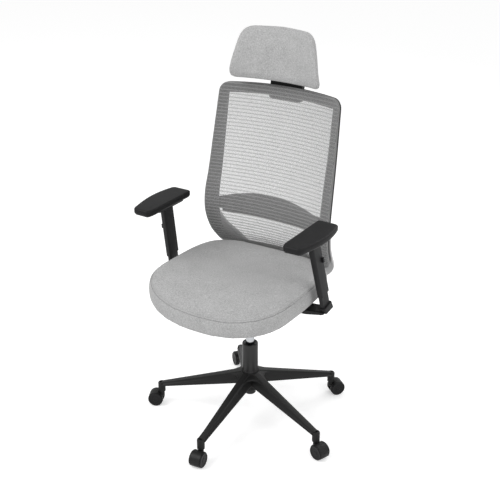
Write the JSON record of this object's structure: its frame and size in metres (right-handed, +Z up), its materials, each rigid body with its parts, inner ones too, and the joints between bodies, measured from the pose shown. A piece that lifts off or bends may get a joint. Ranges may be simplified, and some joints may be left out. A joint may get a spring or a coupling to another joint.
{
  "type": "ergonomic task chair",
  "caption": "Task chair on a star base with twin-wheel casters, gas lift, synchronised tilt, padded seat, height-adjustable arms, stretched mesh back with lumbar pad, and headrest.",
  "frame": {"origin": "on the floor, under the middle of the whole chair", "axes": "+Z up, -Y the way the sitter faces, +X the sitter's left; the gas lift's axis stands 3.6 mm to -X and 25.9 mm to +Y of the origin"},
  "size_m": [0.6842, 0.6583, 1.272],
  "materials": {
    "nylon": "moulded fine texture",
    "soft_black": "soft satin",
    "black_steel": "powder coat",
    "chrome": "polished",
    "spring_steel": "oiled",
    "seat_fabric": "woven melange",
    "back_mesh": "open knitted net",
    "grey_nylon": "moulded fine texture"
  },
  "bodies": {
    "base": {"star_base": "nylon", "column_tube": "nylon", "guide_bush": "soft_black"},
    "caster_1": {"caster_hood_1": "nylon", "caster_axle_1": "chrome"},
    "wheel_left_1": {"caster_wheel_left_1": "nylon"},
    "wheel_right_1": {"caster_wheel_right_1": "nylon"},
    "caster_2": {"caster_hood_2": "nylon", "caster_axle_2": "chrome"},
    "wheel_left_2": {"caster_wheel_left_2": "nylon"},
    "wheel_right_2": {"caster_wheel_right_2": "nylon"},
    "caster_3": {"caster_hood_3": "nylon", "caster_axle_3": "chrome"},
    "wheel_left_3": {"caster_wheel_left_3": "nylon"},
    "wheel_right_3": {"caster_wheel_right_3": "nylon"},
    "caster_4": {"caster_hood_4": "nylon", "caster_axle_4": "chrome"},
    "wheel_left_4": {"caster_wheel_left_4": "nylon"},
    "wheel_right_4": {"caster_wheel_right_4": "nylon"},
    "caster_5": {"caster_hood_5": "nylon", "caster_axle_5": "chrome"},
    "wheel_left_5": {"caster_wheel_left_5": "nylon"},
    "wheel_right_5": {"caster_wheel_right_5": "nylon"},
    "swivel": {"lift_rod": "chrome", "thrust_bearing": "chrome"},
    "lift": {"gas_cylinder": "chrome", "mechanism_housing": "black_steel", "tilt_spring": "spring_steel", "seat_pivot_pin": "chrome", "back_pivot_pin": "chrome"},
    "knob": {"tension_knob": "nylon"},
    "lift_handle": {"lift_lever": "black_steel"},
    "lock_handle": {"tilt_lock_lever": "black_steel"},
    "seat": {"seat_plate": "black_steel", "seat_pan": "nylon", "seat_cushion": "seat_fabric", "arm_bracket_left": "nylon", "arm_bracket_right": "nylon", "arm_upright_left": "nylon", "arm_upright_right": "nylon"},
    "back": {"back_bar": "black_steel", "back_yoke": "grey_nylon", "back_frame": "nylon", "back_mesh": "back_mesh", "headrest_mount": "nylon"},
    "lumbar": {"lumbar_pad": "nylon"},
    "headrest_slider": {"headrest_arm": "nylon", "headrest_pin": "chrome"},
    "head_pillow": {"headrest_shell": "nylon", "headrest_cushion": "seat_fabric"},
    "arm_left": {"arm_sleeve_left": "nylon", "arm_pad_left": "soft_black"},
    "button_left": {"arm_button_left": "soft_black"},
    "arm_right": {"arm_sleeve_right": "nylon", "arm_pad_right": "soft_black"},
    "button_right": {"arm_button_right": "soft_black"}
  },
  "joints": [
    {"name": "caster_swivel_1", "type": "hinge", "parent": "base", "child": "caster_1", "pos_m": [-0.29262, -0.08047, 0.06], "axis": [0, 0, 1], "continuous": true},
    {"name": "wheel_spin_left_1", "type": "hinge", "parent": "caster_1", "child": "wheel_left_1", "pos_m": [-0.3106, -0.08923, 0.025], "axis": [0.4384, -0.8988, 0], "continuous": true},
    {"name": "wheel_spin_right_1", "type": "hinge", "parent": "caster_1", "child": "wheel_right_1", "pos_m": [-0.3106, -0.08923, 0.025], "axis": [0.4384, -0.8988, 0], "continuous": true},
    {"name": "caster_swivel_2", "type": "hinge", "parent": "base", "child": "caster_2", "pos_m": [0.00826, -0.28189, 0.06], "axis": [0, 0, 1], "continuous": true},
    {"name": "wheel_spin_left_2", "type": "hinge", "parent": "caster_2", "child": "wheel_left_2", "pos_m": [0.01035, -0.30178, 0.025], "axis": [0.9945, 0.1045, 0], "continuous": true},
    {"name": "wheel_spin_right_2", "type": "hinge", "parent": "caster_2", "child": "wheel_right_2", "pos_m": [0.01035, -0.30178, 0.025], "axis": [0.9945, 0.1045, 0], "continuous": true},
    {"name": "caster_swivel_3", "type": "hinge", "parent": "base", "child": "caster_3", "pos_m": [0.2928, -0.05798, 0.06], "axis": [0, 0, 1], "continuous": true},
    {"name": "wheel_spin_left_3", "type": "hinge", "parent": "caster_3", "child": "wheel_left_3", "pos_m": [0.31159, -0.06482, 0.025], "axis": [0.342, 0.9397, 0], "continuous": true},
    {"name": "wheel_spin_right_3", "type": "hinge", "parent": "caster_3", "child": "wheel_right_3", "pos_m": [0.31159, -0.06482, 0.025], "axis": [0.342, 0.9397, 0], "continuous": true},
    {"name": "caster_swivel_4", "type": "hinge", "parent": "base", "child": "caster_4", "pos_m": [0.16777, 0.28183, 0.06], "axis": [0, 0, 1], "continuous": true},
    {"name": "wheel_spin_left_4", "type": "hinge", "parent": "caster_4", "child": "wheel_left_4", "pos_m": [0.18063, 0.29715, 0.025], "axis": [-0.766, 0.6428, 0], "continuous": true},
    {"name": "wheel_spin_right_4", "type": "hinge", "parent": "caster_4", "child": "wheel_right_4", "pos_m": [0.18063, 0.29715, 0.025], "axis": [-0.766, 0.6428, 0], "continuous": true},
    {"name": "caster_swivel_5", "type": "hinge", "parent": "base", "child": "caster_5", "pos_m": [-0.19404, 0.26793, 0.06], "axis": [0, 0, 1], "continuous": true},
    {"name": "wheel_spin_left_5", "type": "hinge", "parent": "caster_5", "child": "wheel_left_5", "pos_m": [-0.20936, 0.28078, 0.025], "axis": [-0.6428, -0.766, 0], "continuous": true},
    {"name": "wheel_spin_right_5", "type": "hinge", "parent": "caster_5", "child": "wheel_right_5", "pos_m": [-0.20936, 0.28078, 0.025], "axis": [-0.6428, -0.766, 0], "continuous": true},
    {"name": "seat_swivel", "type": "hinge", "parent": "base", "child": "swivel", "pos_m": [-0.00357, 0.02588, 0.1], "axis": [0, 0, 1], "continuous": true},
    {"name": "gas_lift", "type": "slide", "parent": "swivel", "child": "lift", "axis": [0, 0, 1], "range_m": [-0.095, 0]},
    {"name": "tension_screw", "type": "hinge", "parent": "lift", "child": "knob", "pos_m": [-0.00357, -0.03812, 0.4], "axis": [0, 0, 1], "range_deg": [-360, 360]},
    {"name": "lift_lever_pull", "type": "hinge", "parent": "lift", "child": "lift_handle", "pos_m": [-0.10357, -0.05212, 0.447], "axis": [-1, 0, 0], "range_deg": [0, 12], "stiffness_Nm_per_rad": 0.8, "springref_deg": -8.59},
    {"name": "tilt_lock_slide", "type": "slide", "parent": "lift", "child": "lock_handle", "axis": [-1, 0, 0], "range_m": [0, 0.01]},
    {"name": "back_recline", "type": "hinge", "parent": "lift", "child": "back", "pos_m": [-0.00357, 0.08788, 0.44], "axis": [-1, 0, 0], "range_deg": [0, 20], "stiffness_Nm_per_rad": 60, "springref_deg": -22.92},
    {"name": "seat_tilt", "type": "hinge", "parent": "lift", "child": "seat", "pos_m": [-0.00357, -0.06612, 0.464], "axis": [-1, 0, 0], "range_deg": [0, 8]},
    {"name": "lumbar_height", "type": "slide", "parent": "back", "child": "lumbar", "axis": [0, 0.0995, 0.995], "range_m": [-0.008, 0.025]},
    {"name": "headrest_height", "type": "slide", "parent": "back", "child": "headrest_slider", "axis": [0, 0.1911, 0.9816], "range_m": [0, 0.05]},
    {"name": "headrest_tilt", "type": "hinge", "parent": "headrest_slider", "child": "head_pillow", "pos_m": [-0.00357, 0.22764, 1.178], "axis": [1, 0, 0], "range_deg": [-12, 15]},
    {"name": "arm_height_left", "type": "slide", "parent": "seat", "child": "arm_left", "axis": [-0.0759, -0.2311, 0.97], "range_m": [-0.035, 0.045]},
    {"name": "arm_release_left", "type": "slide", "parent": "arm_left", "child": "button_left", "axis": [-0.997, 0, -0.078], "range_m": [0, 0.002], "stiffness_N_per_m": 400, "springref_m": -0.001},
    {"name": "arm_height_right", "type": "slide", "parent": "seat", "child": "arm_right", "axis": [0.0759, -0.2311, 0.97], "range_m": [-0.035, 0.045]},
    {"name": "arm_release_right", "type": "slide", "parent": "arm_right", "child": "button_right", "axis": [0.997, 0, -0.078], "range_m": [0, 0.002], "stiffness_N_per_m": 400, "springref_m": -0.001}
  ],
  "couplings": [
    {"joint": "seat_tilt", "follows": "back_recline", "ratio": 0.4}
  ]
}
